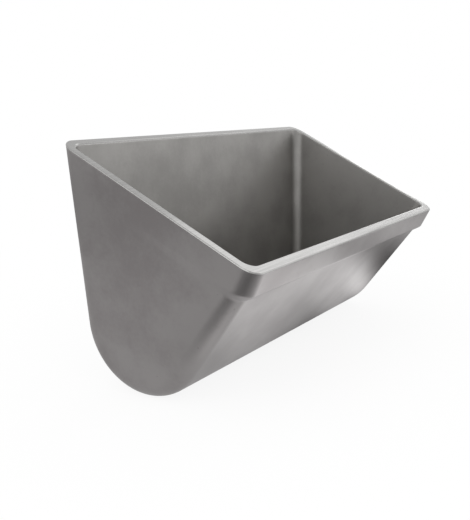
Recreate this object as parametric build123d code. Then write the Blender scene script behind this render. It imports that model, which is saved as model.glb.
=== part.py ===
from build123d import *
import os
from math import asin, atan2, cos, degrees, hypot, pi, radians, sin, tan

# Conveyor elevator bucket, cast in one piece of stainless steel. Sizes are in millimetres.
# X runs along the bucket's width, +Y points to the belt and +Z up. The origin is the middle
# of the flat back face, which is bolted against the belt.

# Overall form
width = 230.0               # over the back edge of the rim, before its corners are rounded
projection = 111.0          # from the belt face to the lip
depth = 131.0               # from the back edge of the rim to the lowest point
rim_slope = 27.9            # degrees that the rim falls towards the lip
bottom_radius = 36.4        # outside radius of the rounded bottom
end_draft = 2.95            # degrees that each end leans in on its way down
end_taper = 1.15            # degrees that each end closes in towards the lip
corner_radius = 8.4         # outside corners between the ends and the wrap-round wall

# Walls
end_wall = 4.2
back_wall = 3.9
bottom_wall = 4.6
front_wall = 5.4            # thicker than the ends, because it digs
inside_radius = 6.0         # inside corners between the ends and the wrap-round wall

# Raised band that stiffens the mouth on the front and both ends
band_height = 12.4          # square to the rim, down the straight face of the band
band_swell = 0.9            # how proud the band is of each end, at the lip
band_start = 14.0           # distance from the belt face at which the band rises from the ends
band_corner = 8.4           # outside radius of the band's two front corners
step_height = 5.6           # square to the rim, over which the band sinks back into the wall
step_bury = 0.2             # how deep the foot of that step ends inside the wall
step_stations = 5           # outlines that the step is drawn through

lip_proud = 0.2             # how far the band's front edge stands out from the front wall's line
rim_break = 0.5             # small chamfer on both edges of the ground rim
overrun = 20.0              # extra length of blocks that are trimmed afterwards

# Heights and lengths that follow from the sizes above
top_z = (depth - bottom_radius) / 2
bottom_z = top_z - depth
slope = radians(rim_slope)
lip_z = top_z - projection * tan(slope)
rim_length = projection / cos(slope)

# The front wall runs from just behind the lip's edge and is tangent to the rounded bottom
to_bottom_y = projection - lip_proud - bottom_radius
to_bottom_z = bottom_z + bottom_radius - lip_z
tangent_turn = asin(bottom_radius / hypot(to_bottom_y, to_bottom_z))
wall_lean = radians(90) + atan2(to_bottom_z, to_bottom_y) - tangent_turn

# The band's block begins inside the wall, between the back corner's rounding and the place where
# the band rises, and then stands out from each end by the spread for each millimetre further on
band_root = (corner_radius + band_start) / 2
band_spread = band_swell / (projection - band_start)

# Rim plane: local x along the width, local -y down the slope to the lip, local z up and out
rim = Plane(origin=(0, 0, top_z), x_dir=(1, 0, 0), z_dir=(0, -sin(slope), cos(slope)))


def end_plane(side, inset):
    """Plane of one end wall, moved in by the inset. Side is -1 or 1."""
    outward = Vector(side, -tan(radians(end_taper)), -tan(radians(end_draft))).normalized()
    return Plane(origin=Vector(side * width / 2, 0, top_z) - outward * inset, z_dir=outward)


def bucket_form(end, back, bottom, front, corner):
    """Closed block of the bucket's form with each wall moved in, reaching above the rim."""
    radius = bottom_radius + (sin(wall_lean) * bottom - cos(wall_lean) * back - front) / (
        1 + cos(wall_lean) - sin(wall_lean)
    )
    high_z = top_z + overrun
    centre = (-back - radius, bottom_z + bottom + radius)
    back_line = Line((-back, high_z), (-back, centre[1]))
    bottom_arc = CenterArc(centre, radius, 0, degrees(wall_lean) - 180)
    foot = bottom_arc @ 1
    head = foot + (bottom_arc % 1) * ((high_z - foot.Y) / cos(wall_lean))
    outline = Wire([back_line, bottom_arc, Line(foot, head), Line(head, back_line @ 0)])
    block = extrude(Plane.YZ * make_face(outline), width / 2 + overrun, both=True)
    for side in (-1, 1):
        block = split(block, end_plane(side, end), keep=Keep.BOTTOM)
    end_faces = block.faces().filter_by(lambda face: abs(face.normal_at().X) > 0.9)
    corners = [edge for edge in end_faces.edges() if edge.center().Z < high_z - 1]
    return fillet(corners, corner)


def straight_band():
    """Straight part of the mouth band, square to the rim and reaching above it."""
    block = Box(width + 2 * overrun, rim_length, overrun + band_height)
    block = rim * Pos(0, -rim_length / 2, (overrun - band_height) / 2) * block
    block = split(block, Plane(origin=(0, -band_root, 0), z_dir=(0, 1, 0)), keep=Keep.BOTTOM)
    for side in (-1, 1):
        outward = (side, band_spread - tan(radians(end_taper)), -tan(radians(end_draft)))
        foot = (side * (width / 2 - band_spread * band_start), 0, top_z)
        block = split(block, Plane(origin=foot, z_dir=outward), keep=Keep.BOTTOM)
    upright = block.edges().filter_by(lambda edge: abs((edge % 0).dot(rim.z_dir)) > 0.9)
    front_corners = upright.sort_by(Axis.Y)[:2]
    return fillet(front_corners, band_corner)


def step_outline(share):
    """Outline of the band part of the way down its step, as a share from 0 to 1."""
    drop = band_height + share * step_height
    rise = (1 + cos(pi * share)) / 2
    back = (band_root + drop * sin(slope)) / cos(slope)
    wall_front = rim_length - lip_proud - drop * tan(wall_lean - slope)
    band_front = wall_front + rise * (rim_length - wall_front) - (1 - rise) * step_bury

    def half_width(along):
        """Half the width at a distance down the slope from the rim's back edge."""
        out = along * cos(slope) - drop * sin(slope)
        fall = along * sin(slope) + drop * cos(slope)
        wall = width / 2 - out * tan(radians(end_taper)) - fall * tan(radians(end_draft))
        return wall + rise * band_spread * (out - band_start) - (1 - rise) * step_bury

    outline = Polyline(
        (half_width(back), -back),
        (half_width(band_front), -band_front),
        (-half_width(band_front), -band_front),
        (-half_width(back), -back),
        close=True,
    )
    face = make_face(outline)
    front_corners = face.vertices().sort_by(Axis.Y)[:2]
    return rim.offset(-drop) * fillet(front_corners, band_corner)


def mouth_band():
    """Block that gives the raised band: a straight face, then a soft step back to the wall."""
    straight = straight_band()
    foot = straight.faces().sort_by(lambda face: face.normal_at().dot(rim.z_dir))[0]
    shares = [station / step_stations for station in range(1, step_stations + 1)]
    return straight + loft([foot, *[step_outline(share) for share in shares]])


body = bucket_form(0, 0, 0, 0, corner_radius)
cavity = bucket_form(end_wall, back_wall, bottom_wall, front_wall, inside_radius)
bucket = split(body + mouth_band() - cavity, rim, keep=Keep.BOTTOM)
rim_face = bucket.faces().sort_by(lambda face: face.normal_at().dot(rim.z_dir))[-1]
bucket = chamfer(rim_face.edges(), rim_break)

os.makedirs("parts", exist_ok=True)
export_step(bucket, "parts/bucket.step")
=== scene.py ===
import math

import bmesh
import bpy
import numpy as np
from mathutils import Euler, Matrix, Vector


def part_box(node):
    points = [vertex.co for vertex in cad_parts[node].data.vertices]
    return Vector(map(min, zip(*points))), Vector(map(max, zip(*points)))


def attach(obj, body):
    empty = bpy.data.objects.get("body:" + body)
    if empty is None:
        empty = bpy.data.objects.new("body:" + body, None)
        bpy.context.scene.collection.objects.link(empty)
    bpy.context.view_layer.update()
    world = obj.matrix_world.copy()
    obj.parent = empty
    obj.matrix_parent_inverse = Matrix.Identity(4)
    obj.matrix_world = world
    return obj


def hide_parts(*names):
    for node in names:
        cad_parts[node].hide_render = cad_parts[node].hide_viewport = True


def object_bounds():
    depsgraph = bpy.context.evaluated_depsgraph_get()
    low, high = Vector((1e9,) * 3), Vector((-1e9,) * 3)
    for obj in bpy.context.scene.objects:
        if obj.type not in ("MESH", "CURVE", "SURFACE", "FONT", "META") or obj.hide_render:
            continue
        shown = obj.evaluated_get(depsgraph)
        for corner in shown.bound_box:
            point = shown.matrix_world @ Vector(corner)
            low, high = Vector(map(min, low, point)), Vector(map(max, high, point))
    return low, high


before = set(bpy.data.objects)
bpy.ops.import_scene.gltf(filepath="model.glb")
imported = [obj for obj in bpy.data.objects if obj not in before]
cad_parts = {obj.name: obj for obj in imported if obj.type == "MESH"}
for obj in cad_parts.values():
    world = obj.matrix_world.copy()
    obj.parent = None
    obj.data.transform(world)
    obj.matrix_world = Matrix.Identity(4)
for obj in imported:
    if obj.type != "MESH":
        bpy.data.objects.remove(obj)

# Cast steel elevator bucket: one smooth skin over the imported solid, its satin cast finish with a
# ground rim, and a pale studio.

mm = 0.001
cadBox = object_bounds()
lowest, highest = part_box("bucket")
print("frame loaded")

bucket = {
    "width": 230.0 * mm,         # over the back edge of the rim, before its corners are rounded
    "rimSlope": 27.9,            # degrees that the rim falls towards the lip
    "bottomRadius": 36.4 * mm,
    "endDraft": 2.95,            # degrees that each end leans in on its way down
    "endTaper": 1.15,            # degrees that each end closes in towards the lip
    "outsideCorner": 8.4 * mm,
    "insideCorner": 6.0 * mm,
    "endWall": 4.2 * mm,
    "backWall": 3.9 * mm,
    "bottomWall": 4.6 * mm,
    "frontWall": 5.4 * mm,
    "bandHeight": 12.4 * mm,     # straight face of the mouth band, square to the rim
    "bandSwell": 0.9 * mm,       # how proud the band is of each end, at the lip
    "bandStart": 14.0 * mm,      # distance from the belt face at which it rises from the ends
    "stepHeight": 5.6 * mm,      # over which the band sinks back into the wall
    "lipProud": 0.2 * mm,        # band's front edge beyond the front wall's line
    "rimBreak": 0.5 * mm,        # small chamfer on both edges of the ground rim
    "edgeRound": 0.16 * mm,      # where that chamfer meets its neighbours
    "swellStart": 1.0 * mm,      # length over which the band begins to rise from an end
    "swellTail": 3.0 * mm,       # and how far before its start that rise is dropped
    "halfSheet": 30,             # columns over half the back or the front sheet
    "cornerFan": 12,             # columns round each corner
    "endCap": 48,                # columns over each end
    "endPull": 0.75,             # how much closer those are near the corners, from 0 to 1
    "edgeRows": 3,               # rows over each small round of the rim's edges
    "rimRows": 6,                # rows over the flat of the rim
    "bandRows": np.array([1.5, 2.6, 4.4, 6.8, 9.2, 11.0]) * mm,    # below the rim
    "stepRows": 14,
    "footRows": np.array([1.0, 2.5, 4.5]) * mm,    # below the step
    "wallRows": 22,
    "bottomRows": 30,
    "leastFall": 0.1,            # fall of a corner's line below which its rows aren't slid
    "mergeWithin": 0.0005 * mm,    # points this close become one
}

# Slopes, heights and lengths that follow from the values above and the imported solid. The front
# wall's lean from the upright is that of the line from the lip that just touches the bottom's arc.
slope = math.radians(bucket["rimSlope"])
sinSlope, cosSlope = math.sin(slope), math.cos(slope)
taper = math.tan(math.radians(bucket["endTaper"]))
draft = math.tan(math.radians(bucket["endDraft"]))
topZ = highest.z + bucket["rimBreak"] * sinSlope
projection = bucket["rimBreak"] * sinSlope - lowest.y
bottomZ = lowest.z
lipZ = topZ - projection * math.tan(slope)
lipToCentre = (projection - bucket["lipProud"] - bucket["bottomRadius"],
               bottomZ + bucket["bottomRadius"] - lipZ)
wallLean = (math.radians(90) + math.atan2(lipToCentre[1], lipToCentre[0])
            - math.asin(bucket["bottomRadius"] / math.hypot(*lipToCentre)))


def dropBelowRim(points):
    # distance below the rim plane, square to it
    return points[..., 1] * sinSlope - (points[..., 2] - topZ) * cosSlope


def reachDownRim(points):
    # distance from the rim's back edge, down its slope
    return -points[..., 1] * cosSlope - (points[..., 2] - topZ) * sinSlope


def spread(count, pull):
    # shares from 0 to 1, even steps less a sine wave, so they are closer together near both ends
    even = np.linspace(0, 1, count)
    return even - pull * np.sin(2 * np.pi * even) / (2 * np.pi)


def endNormal():
    # outward direction of the right end: across, leaning by its taper and its draft
    normal = np.array([1, -taper, -draft])
    return normal / np.linalg.norm(normal)


def endPlaneX(y, z, inset):
    # x of the right end's plane at a place, with the plane moved in by the inset
    length = math.sqrt(1 + taper**2 + draft**2)
    return bucket["width"] / 2 + y * taper + (z - topZ) * draft - inset * length


def sheetRows(back, bottom, front, drops):
    # Rows of the wrap-round wall's profile in the YZ plane, from the rim to the bottom's middle:
    # first at the given drops below the rim, then evenly down each straight, then round the arc,
    # whose radius is the one that touches the back, bottom and front once each has moved in by
    # its own wall. Returns the points and normals of its back and its front, each rows by 2, and
    # a fade from 1 at the drops to 0 where the straights end.
    radius = bucket["bottomRadius"] + (
        math.sin(wallLean) * bottom - math.cos(wallLean) * back - front
    ) / (1 + math.cos(wallLean) - math.sin(wallLean))
    centre = np.array([-back - radius, bottomZ + bottom + radius])
    arcTurn = np.pi - wallLean    # of the whole bottom
    frontNormal = np.array([math.cos(arcTurn), -math.sin(arcTurn)])
    foot = centre + radius * frontNormal    # where the front's straight begins
    up = np.array([-math.sin(wallLean), math.cos(wallLean)])
    footDrop = foot[0] * sinSlope - (foot[1] - topZ) * cosSlope
    share = np.linspace(0, 1, bucket["wallRows"] + 1)[1:]
    backZ = topZ - (drops + back * sinSlope) / cosSlope
    backZ = np.concatenate([backZ, backZ[-1] + share * (centre[1] - backZ[-1])])
    backLine = np.stack([np.full_like(backZ, -back), backZ], 1)
    climb = (footDrop - drops) / math.cos(wallLean - slope)
    climb = np.concatenate([climb, climb[-1] * (1 - share)])
    turn = np.linspace(0, arcTurn / 2, bucket["bottomRows"] + 1)[1:]
    backArc = np.stack([np.cos(turn), -np.sin(turn)], 1)
    frontArc = np.stack([np.cos(arcTurn - turn), -np.sin(arcTurn - turn)], 1)
    backPoints = np.vstack([backLine, centre + radius * backArc])
    frontPoints = np.vstack([foot + climb[:, None] * up, centre + radius * frontArc])
    backNormals = np.vstack([np.tile([1.0, 0.0], (len(backZ), 1)), backArc])
    frontNormals = np.vstack([np.tile(frontNormal, (len(backZ), 1)), frontArc])
    settle = 0.5 + 0.5 * np.cos(np.pi * share)
    fade = np.concatenate([np.ones(len(drops)), settle, np.zeros(len(turn))])
    return backPoints, backNormals, frontPoints, frontNormals, fade


def cornerColumns(points, normals, end, corner, fade):
    # Rounded corner between the wrap-round wall and the right end, rows by columns by 3. A ball of
    # the corner's radius rolls along both, and each row turns from the sheet's normal to the
    # end's round its centre. Near the rim each row is slid along the corner onto one drop.
    rows = len(points)
    centre = points - normals * corner
    centreX = endPlaneX(centre[:, 0], centre[:, 1], end + corner)
    centre = np.column_stack([centreX, centre])
    sheet = np.column_stack([np.zeros(rows), normals])
    cap = np.tile(endNormal(), (rows, 1))
    angle = np.arccos((sheet * cap).sum(1))[:, None, None]
    share = np.linspace(0, 1, bucket["cornerFan"] + 1)[None, :, None]
    fan = np.sin((1 - share) * angle) * sheet[:, None] + np.sin(share * angle) * cap[:, None]
    skin = centre[:, None] + corner * fan / np.sin(angle)
    axis = np.cross(sheet, cap)
    axis /= np.linalg.norm(axis, axis=1)[:, None]
    fall = axis[:, 1] * sinSlope - axis[:, 2] * cosSlope    # for one step along the corner
    missing = dropBelowRim(skin[:, :1]) - dropBelowRim(skin)
    steep = np.abs(fall) > bucket["leastFall"]
    slide = fade[:, None] * missing / np.where(steep, fall, 1)[:, None]
    return skin + slide[:, :, None] * axis[:, None]


def bandRise(drop):
    # share of the band left at a drop: all of it down its straight face, then a half cosine
    share = np.clip((drop - bucket["bandHeight"]) / bucket["stepHeight"], 0, 1)
    return 0.5 + 0.5 * np.cos(np.pi * share)


def bandSwellAt(out):
    # How proud the band is of the end, at a distance from the belt face: a straight ramp whose
    # start is rounded to a hyperbola, with the last of its tail dropped.
    beyond = out - bucket["bandStart"]
    ramp = (beyond + np.sqrt(beyond**2 + bucket["swellStart"]**2)) / 2
    ramp = np.where(beyond > -bucket["swellTail"], ramp, 0)
    return ramp * bucket["bandSwell"] / (projection - bucket["bandStart"])


def bandShift(frontCorner, end, fade):
    # Share of the band left at each row, and how far it moves the front corner there: down the
    # rim's slope towards the lip, and out by the end's own slant and the swell.
    first, last = frontCorner[:, 0], frontCorner[:, -1]
    rise = np.where(fade == 1, bandRise(dropBelowRim(last)), 0)
    forward = rise * (projection / cosSlope - reachDownRim(last))
    shift = np.column_stack([np.zeros(len(rise)), -forward * cosSlope, -forward * sinSlope])
    moved = first + shift
    onEnd = endPlaneX(moved[:, 1], moved[:, 2], end)
    shift[:, 0] = onEnd - first[:, 0] + rise * bandSwellAt(-moved[:, 1])
    return rise, shift


def skinGrid(end, back, bottom, front, corner, drops, banded):
    # Right half of one skin of the bucket, from the middle of the back round the end to the middle
    # of the front: rows by columns by 3, from the rim down to the bottom's middle. The end's
    # columns are blended between its two corners, and the sheets' columns run to the middle by
    # a sine, so they too are closer together near the corners.
    backRow, backNormal, frontRow, frontNormal, fade = sheetRows(back, bottom, front, drops)
    backCorner = cornerColumns(backRow, backNormal, end, corner, fade)
    frontCorner = cornerColumns(frontRow, frontNormal, end, corner, fade)[:, ::-1]
    if banded:
        rise, shift = bandShift(frontCorner, end, fade)
        frontCorner = frontCorner + shift[:, None]
    share = spread(bucket["endCap"] + 1, bucket["endPull"])[1:-1, None]
    cap = backCorner[:, -1:] * (1 - share) + frontCorner[:, :1] * share
    if banded:
        swell = rise[:, None] * bandSwellAt(-cap[..., 1])
        cap[..., 0] = endPlaneX(cap[..., 1], cap[..., 2], end) + swell
    sheet = np.sin(np.linspace(0, np.pi / 2, bucket["halfSheet"] + 1))[:-1, None]
    across = np.array([1.0, 0.0, 0.0])
    backSheet = backCorner[:, :1] - (1 - sheet) * backCorner[:, :1, :1] * across
    frontSheet = frontCorner[:, -1:] - (1 - sheet[::-1]) * frontCorner[:, -1:, :1] * across
    return np.concatenate([backSheet, backCorner, cap, frontCorner, frontSheet], 1)


def wholeLoop(half):
    # the right half and its mirror image, as one loop of columns round the bucket
    mirror = half[:, -2:0:-1] * np.array([-1.0, 1.0, 1.0])
    return np.concatenate([half, mirror], 1)


def rimNormals(loop):
    # outward direction of a closed outline in the rim plane: square to the line through each
    # point's neighbours
    along = np.roll(loop, -1, 0) - np.roll(loop, 1, 0)
    up = np.array([0.0, -sinSlope, cosSlope])
    outward = np.cross(up, along)
    outward /= np.linalg.norm(outward, axis=1)[:, None]
    centre = loop.mean(0)
    return outward * np.sign(((loop - centre) * outward).sum(1).sum())


def rimEdge():
    # Section of the rim's broken edge, as its lean in from the wall and its drop below the rim:
    # a small round of 45 degrees, the chamfer, and a second small round.
    turn = np.linspace(0, np.pi / 4, bucket["edgeRows"] + 1)
    tangent = bucket["edgeRound"] * math.tan(np.pi / 8)
    along = bucket["rimBreak"] + tangent - bucket["edgeRound"] * np.sin(turn)
    away = bucket["edgeRound"] * (1 - np.cos(turn))
    lean = np.concatenate([along, away[::-1]])
    drop = np.concatenate([away, along[::-1]])
    return lean, drop


def bucketSurface():
    # The whole skin, from the bottom's middle up the outside, over the rim and down the inside, and
    # how far inside each row is: 0 outside, 1 inside, and even shares over the flat of the rim.
    edgeLean, edgeDrops = rimEdge()
    stepShares = np.linspace(0, 1, bucket["stepRows"] + 1)
    stepDrops = bucket["bandHeight"] + bucket["stepHeight"] * stepShares
    footDrops = stepDrops[-1] + bucket["footRows"]
    drops = np.concatenate([edgeDrops, bucket["bandRows"], stepDrops, footDrops])
    outer = wholeLoop(skinGrid(0, 0, 0, 0, bucket["outsideCorner"], drops, True))
    inner = wholeLoop(skinGrid(bucket["endWall"], bucket["backWall"], bucket["bottomWall"],
                               bucket["frontWall"], bucket["insideCorner"], drops, False))
    lean = edgeLean[:, None, None]
    outer[:len(lean)] -= lean * rimNormals(outer[0])
    inner[:len(lean)] += lean * rimNormals(inner[0])
    share = np.linspace(0, 1, bucket["rimRows"] + 1)[1:-1, None, None]
    flat = outer[:1] * (1 - share) + inner[:1] * share
    inside = np.concatenate([np.zeros(len(outer)), share.ravel(), np.ones(len(inner))])
    return np.concatenate([outer[::-1], flat, inner]), inside


def meshFromGrid(name, grid, inside):
    # Each face joins two rows and two columns, and the columns close into a loop. Points that fall
    # together are merged. Each row's share of being inside goes along for the finish.
    rows, columns = grid.shape[:2]
    corner = np.arange(rows * columns).reshape(rows, columns)
    following = np.roll(corner, -1, 1)
    faces = np.stack([corner[:-1], corner[1:], following[1:], following[:-1]], -1).reshape(-1, 4)
    mesh = bpy.data.meshes.new(name)
    mesh.from_pydata(grid.reshape(-1, 3).tolist(), [], faces.tolist())
    shares = mesh.attributes.new("inside", "FLOAT", "POINT")
    shares.data.foreach_set("value", np.repeat(inside, columns).astype(np.float32))
    work = bmesh.new()
    work.from_mesh(mesh)
    bmesh.ops.remove_doubles(work, verts=work.verts, dist=bucket["mergeWithin"])
    bmesh.ops.recalc_face_normals(work, faces=work.faces)
    work.to_mesh(mesh)
    work.free()
    mesh.polygons.foreach_set("use_smooth", np.ones(len(mesh.polygons), bool))
    piece = bpy.data.objects.new(name, mesh)
    bpy.context.scene.collection.objects.link(piece)
    return piece


casting = meshFromGrid("bucket_casting", *bucketSurface())
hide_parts("bucket")
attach(casting, "root")
print("casting:", len(casting.data.polygons), "faces")


class Field:
    # a socket whose value can stand in a plain expression
    def __init__(self, finish, socket):
        self.finish = finish
        self.socket = socket

    def combine(self, operation, other, swapped=False):
        first, second = (other, self) if swapped else (self, other)
        return self.finish.add("ShaderNodeMath", {"operation": operation}, {0: first, 1: second})

    def __add__(self, other):
        return self.combine("ADD", other)

    def __radd__(self, other):
        return self.combine("ADD", other, True)

    def __sub__(self, other):
        return self.combine("SUBTRACT", other)

    def __rsub__(self, other):
        return self.combine("SUBTRACT", other, True)

    def __mul__(self, other):
        return self.combine("MULTIPLY", other)

    def __rmul__(self, other):
        return self.combine("MULTIPLY", other, True)

    def __pow__(self, other):
        return self.combine("POWER", other)


class Finish:
    # a node tree, of a material or of the world, with one way to add a node
    def __init__(self, owner):
        owner.use_nodes = True
        self.owner = owner
        self.tree = owner.node_tree
        self.tree.nodes.clear()

    def add(self, kind, settings=None, sockets=None, output=0):
        # settings first, then the values or links of its sockets; gives one of its outputs
        node = self.tree.nodes.new(kind)
        for key, value in (settings or {}).items():
            setattr(node, key, value)
        for key, value in (sockets or {}).items():
            if isinstance(value, Field):
                self.tree.links.new(value.socket, node.inputs[key])
            else:
                node.inputs[key].default_value = value
        return Field(self, node.outputs[output]) if node.outputs else None

    def axes(self, vector):
        # its x, y and z
        return [self.add("ShaderNodeSeparateXYZ", None, {0: vector}, axis) for axis in range(3)]

    def between(self, value, low, high):
        # 0 below the low value, 1 above the high one, with a smooth step between
        sockets = {"Value": value, "From Min": low, "From Max": high}
        return self.add("ShaderNodeMapRange", {"interpolation_type": "SMOOTHSTEP"}, sockets)

    def noise(self, vector, scale, detail, fineness=0.55):
        # fineness is how strong each finer layer is beside the one before
        sockets = {"Vector": vector, "Scale": scale, "Detail": detail, "Roughness": fineness}
        return self.add("ShaderNodeTexNoise", None, sockets, "Fac")

    def mixColour(self, share, first, second):
        # the first colour at a share of 0, the second at 1
        return self.add("ShaderNodeMix", {"data_type": "RGBA"}, {0: share, 6: first, 7: second}, 2)


metal = {
    "castDark": (0.305, 0.286, 0.286, 1.0),      # blasted skin, outside
    "castLight": (0.375, 0.358, 0.356, 1.0),
    "castRoughness": 0.36,
    "insideDark": (0.287, 0.280, 0.270, 1.0),    # inside, a little yellower and rougher
    "insideLight": (0.358, 0.349, 0.338, 1.0),
    "insideRoughness": 0.08,     # added to the cast roughness
    "groundDark": (0.290, 0.287, 0.282, 1.0),    # rim, ground flat across the bucket's width
    "groundLight": (0.350, 0.346, 0.340, 1.0),
    "groundRoughness": 0.2,
    "groundDepth": 0.55 * mm,    # how far below the rim the grinding reaches
    "groundFade": 0.25 * mm,     # and fades out below that
    "groundRagged": 0.25 * mm,
    "detail": 3.0,               # of clouds, blasting and grinding lines
    "softDetail": 2.0,           # of shot marks and waves
    "cloudScale": 24.0,          # soft patches of the skin, a few centimetres wide
    "cloudShare": 0.85,          # their share in the skin's tone, and the rest is blasting
    "cloudBetween": (0.36, 0.64),    # noise at which the skin is darkest and lightest
    "cloudRoughness": 0.08,
    "blastScale": 480.0,         # uneven blasting, about 2 mm
    "blastRoughness": 0.04,
    "grainScale": 1700.0,        # shot marks, about 0.6 mm
    "streakScale": 900.0,        # grinding lines
    "streakStretch": 0.03,
    "streakBetween": (0.3, 0.7),
    "streakRoughness": 0.08,
    "pitScale": 170.0,           # small casting pits
    "pitEdge": (0.03, 0.11),     # from the end of a pit's floor to its rim
    "pitClouds": (0.56, 0.64),   # pits come only where the clouds are above this
    "pitDarkening": 0.6,
    "pitRoughness": 0.2,
    "waveScale": 16.0,           # the casting's slow waves
    "waveHeight": 0.35,          # heights are in millimetres
    "blastHeight": 0.003,
    "grainHeight": 0.0025,
    "pitHeight": 0.03,
    "streakHeight": 0.0012,
}
noiseMiddle = 0.5                # average of the noise


def groundShare(finish, place, ragged):
    # 1 on the ground rim and its broken edges, 0 below them
    y, z = finish.axes(place)[1:]
    drop = y * sinSlope - (z - topZ) * cosSlope
    edge = drop + metal["groundRagged"] * (ragged - noiseMiddle)
    depth = metal["groundDepth"]
    return 1 - finish.between(edge, depth, depth + metal["groundFade"])


def groundRim(finish, place):
    # colour, roughness and height of the rim: fine lines along the width, from noise that is
    # stretched that way
    stretch = (metal["streakStretch"], 1.0, 1.0)
    along = finish.add("ShaderNodeMapping", None, {"Vector": place, "Scale": stretch})
    lines = finish.noise(along, metal["streakScale"], metal["detail"])
    light = finish.between(lines, *metal["streakBetween"])
    colour = finish.mixColour(light, metal["groundDark"], metal["groundLight"])
    roughness = metal["groundRoughness"] + metal["streakRoughness"] * (lines - noiseMiddle)
    return colour, roughness, metal["streakHeight"] * lines


def castingPits(finish, place, cloud):
    # small round pits, kept only in the lightest clouds
    sockets = {"Vector": place, "Scale": metal["pitScale"]}
    away = finish.add("ShaderNodeTexVoronoi", None, sockets, "Distance")
    return (1 - finish.between(away, *metal["pitEdge"])) * finish.between(cloud, *metal["pitClouds"])


def castSkin(finish, place, blast):
    # colour, roughness and height of the blasted skin
    cloud = finish.noise(place, metal["cloudScale"], metal["detail"])
    grain = finish.noise(place, metal["grainScale"], metal["softDetail"])
    pits = castingPits(finish, place, cloud)
    inside = finish.add("ShaderNodeAttribute", {"attribute_name": "inside"}, None, "Fac")
    tone = metal["cloudShare"] * cloud + (1 - metal["cloudShare"]) * blast
    light = finish.between(tone, *metal["cloudBetween"]) - metal["pitDarkening"] * pits
    outer = finish.mixColour(light, metal["castDark"], metal["castLight"])
    inner = finish.mixColour(light, metal["insideDark"], metal["insideLight"])
    roughness = metal["castRoughness"] + metal["insideRoughness"] * inside
    roughness = roughness + metal["cloudRoughness"] * (noiseMiddle - cloud)
    roughness = roughness + metal["blastRoughness"] * (blast - noiseMiddle)
    roughness = roughness + metal["pitRoughness"] * pits
    marks = metal["blastHeight"] * blast + metal["grainHeight"] * grain
    return finish.mixColour(inside, outer, inner), roughness, marks - metal["pitHeight"] * pits


def castSteel():
    # the blasted skin, with the ground rim over it and slow waves under both
    finish = Finish(bpy.data.materials.new("satin_steel"))
    place = finish.add("ShaderNodeTexCoord", None, None, "Object")
    blast = finish.noise(place, metal["blastScale"], metal["detail"])
    wave = finish.noise(place, metal["waveScale"], metal["softDetail"])
    skinColour, skinRoughness, skinHeight = castSkin(finish, place, blast)
    rimColour, rimRoughness, rimHeight = groundRim(finish, place)
    ground = groundShare(finish, place, blast)
    height = metal["waveHeight"] * wave + skinHeight + ground * (rimHeight - skinHeight)
    shader = finish.add("ShaderNodeBsdfPrincipled", None, {
        "Base Color": finish.mixColour(ground, skinColour, rimColour),
        "Metallic": 1.0,
        "Roughness": skinRoughness + ground * (rimRoughness - skinRoughness),
        "Normal": finish.add("ShaderNodeBump", None, {"Distance": mm, "Height": height}),
    })
    finish.add("ShaderNodeOutputMaterial", None, {"Surface": shader})
    return finish.owner


casting.data.materials.append(castSteel())
print("steel finish made")


# Pale studio: a white room, white ground and a few soft lamps
paper = {
    "size": 6.0,                 # metres along each side
    "colour": (0.85, 0.85, 0.85, 1.0),
    "shadowShare": 0.12,         # how much of the bucket's shadow the white ground keeps
    "shadowReach": 0.45,         # distance at which the ground is plain white
    # the ground's painted tone in the metal's reflections, and how that painted tone darkens far away
    "tone": 0.63,                # the ground's tone in the metal
    "farFall": 0.3,              # how much darker that is far away
    "farBetween": (0.25, 0.6),   # distances between which it falls
}

# soft patches of painted shade and painted light on the ground, seen only in the metal, as cards
# beside the bucket would give, with painted shadow at the bucket's foot: place, reach and change of
# tone
paintedLightPatches = {
    "leftShade": ((-0.2, -0.1), 0.095, -0.4),
    "cornerShade": ((-0.14, -0.155), 0.085, -0.42),
    "endShade": ((-0.18, -0.02), 0.05, -0.1),
    "seamGlow": ((-0.105, -0.107), 0.042, 0.32),
    "footShade": ((0.025, -0.025), 0.1, -0.52),
    "heelShade": ((-0.05, -0.02), 0.06, -0.2),
    "cornerGlow": ((-0.045, -0.085), 0.05, 0.16),
    "frontGlow": ((0.0, -0.12), 0.09, 0.9),
    "rightGlow": ((0.075, -0.088), 0.055, 0.64),
    "rightGlint": ((0.114, -0.077), 0.035, 0.82),
    "edgeShade": ((0.1, -0.046), 0.03, -0.4),
    "rightShade": ((0.172, -0.082), 0.065, -0.76),
    "bandGlow": ((0.17, -0.15), 0.1, 0.42),
}

# soft lamps round the bucket: direction in degrees from the front towards the right, height in
# degrees, width in degrees as the bucket sees it, and brightness
lamps = {
    "keyRight": (88, 42, 32, 0.85),
    "lowRight": (101, 15, 15, 2.4),
    "softLeft": (-62, 36, 50, 0.8),
    "frontRight": (40, 10, 40, 0.6),
    "sideLeft": (-100, 35, 40, 1.0),
}

room = {
    "level": 1.0,                # 1 is white
    "lampDistance": 1.2,         # from the middle of the bucket
}


def paintedReflectionTone(finish, x, y, reach):
    # the ground's painted tone in the metal's reflections: a little darker far away, with soft patches
    # of painted shade and painted light
    tone = paper["tone"] - paper["farFall"] * finish.between(reach, *paper["farBetween"])
    for place, size, change in paintedLightPatches.values():
        away = ((x - place[0]) ** 2 + (y - place[1]) ** 2) ** 0.5
        tone = tone + change * (1 - finish.between(away, 0.0, size))
    return tone


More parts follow.
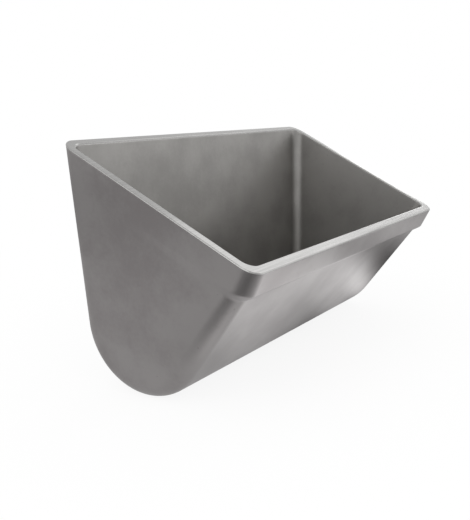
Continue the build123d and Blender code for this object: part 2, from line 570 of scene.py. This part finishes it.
def floorWithPaintedReflection():
    # White to the camera, with a share of the bucket's shadow near it, and in the metal a glow of the
    # ground's painted tone, with painted shade and painted light. Any other light falls on matt paper.
    finish = Finish(bpy.data.materials.new("floor_paper_and_painted_reflection"))
    matt = finish.add("ShaderNodeBsdfDiffuse", None, {"Color": paper["colour"]})
    isCamera = finish.add("ShaderNodeLightPath", None, None, "Is Camera Ray")
    isGlossy = finish.add("ShaderNodeLightPath", None, None, "Is Glossy Ray")
    x, y = finish.axes(finish.add("ShaderNodeTexCoord", None, None, "Object"))[:2]
    reach = (x ** 2 + y ** 2) ** 0.5
    # glossy rays see the ground's painted tone as a glow: painted reflections of shade and light
    shade = isCamera + isGlossy * paintedReflectionTone(finish, x, y, reach)
    tint = finish.add("ShaderNodeCombineColor", None, {0: shade, 1: shade, 2: shade})
    glow = finish.add("ShaderNodeEmission", None, {"Color": tint})
    kept = paper["shadowShare"] * (1 - finish.between(reach, 0.0, paper["shadowReach"]))
    share = isCamera * (1 - kept) + isGlossy
    surface = finish.add("ShaderNodeMixShader", None, {0: share, 1: matt, 2: glow})
    finish.add("ShaderNodeOutputMaterial", None, {"Surface": surface})
    return finish.owner


def makeFloor():
    # a square of paper, level with the bucket's lowest point
    half = paper["size"] / 2
    z = cadBox[0].z
    corners = [(-half, -half, z), (half, -half, z), (half, half, z), (-half, half, z)]
    mesh = bpy.data.meshes.new("floor")
    mesh.from_pydata(corners, [], [(0, 1, 2, 3)])
    mesh.materials.append(floorWithPaintedReflection())
    floor = bpy.data.objects.new("floor", mesh)
    bpy.context.scene.collection.objects.link(floor)


def makeLamp(name, side, height, width, level):
    # A disk that faces the middle of the bucket. Its power is its brightness times pi squared times
    # its radius squared.
    away = room["lampDistance"]
    radius = away * math.tan(math.radians(width / 2))
    data = bpy.data.lights.new(name, "AREA")
    data.shape = "DISK"
    data.size = 2 * radius
    data.energy = level * math.pi**2 * radius**2
    lamp = bpy.data.objects.new(name, data)
    turn = Euler((math.radians(90 - height), 0, math.radians(side)))
    lamp.rotation_euler = turn
    lamp.location = (cadBox[0] + cadBox[1]) / 2 + turn.to_matrix() @ Vector((0, 0, away))
    bpy.context.scene.collection.objects.link(lamp)


def makeRoom():
    # even white light from all round
    world = bpy.data.worlds.new("room")
    bpy.context.scene.world = world
    finish = Finish(world)
    glow = finish.add("ShaderNodeBackground", None, {"Color": (1, 1, 1, 1), "Strength": room["level"]})
    finish.add("ShaderNodeOutputWorld", None, {"Surface": glow})


makeFloor()
for name, values in lamps.items():
    makeLamp(name, *values)
makeRoom()
print("studio made")

view = {
    "place": (-0.33352, -0.26205, 0.05255),
    "turn": (78.1646, 2.527, -54.7038),    # degrees
    "lens": 45.668,              # with the sensor, in millimetres
    "sensor": 36.0,
    "nearest": 0.01,             # metres
}
camera = bpy.data.objects.new("camera", bpy.data.cameras.new("camera"))
camera.data.sensor_width = view["sensor"]
camera.data.lens = view["lens"]
camera.data.clip_start = view["nearest"]
camera.location = view["place"]
camera.rotation_euler = Euler([math.radians(angle) for angle in view["turn"]])
bpy.context.scene.collection.objects.link(camera)
bpy.context.scene.camera = camera
bpy.context.scene.view_settings.view_transform = "Standard"
print("camera made")
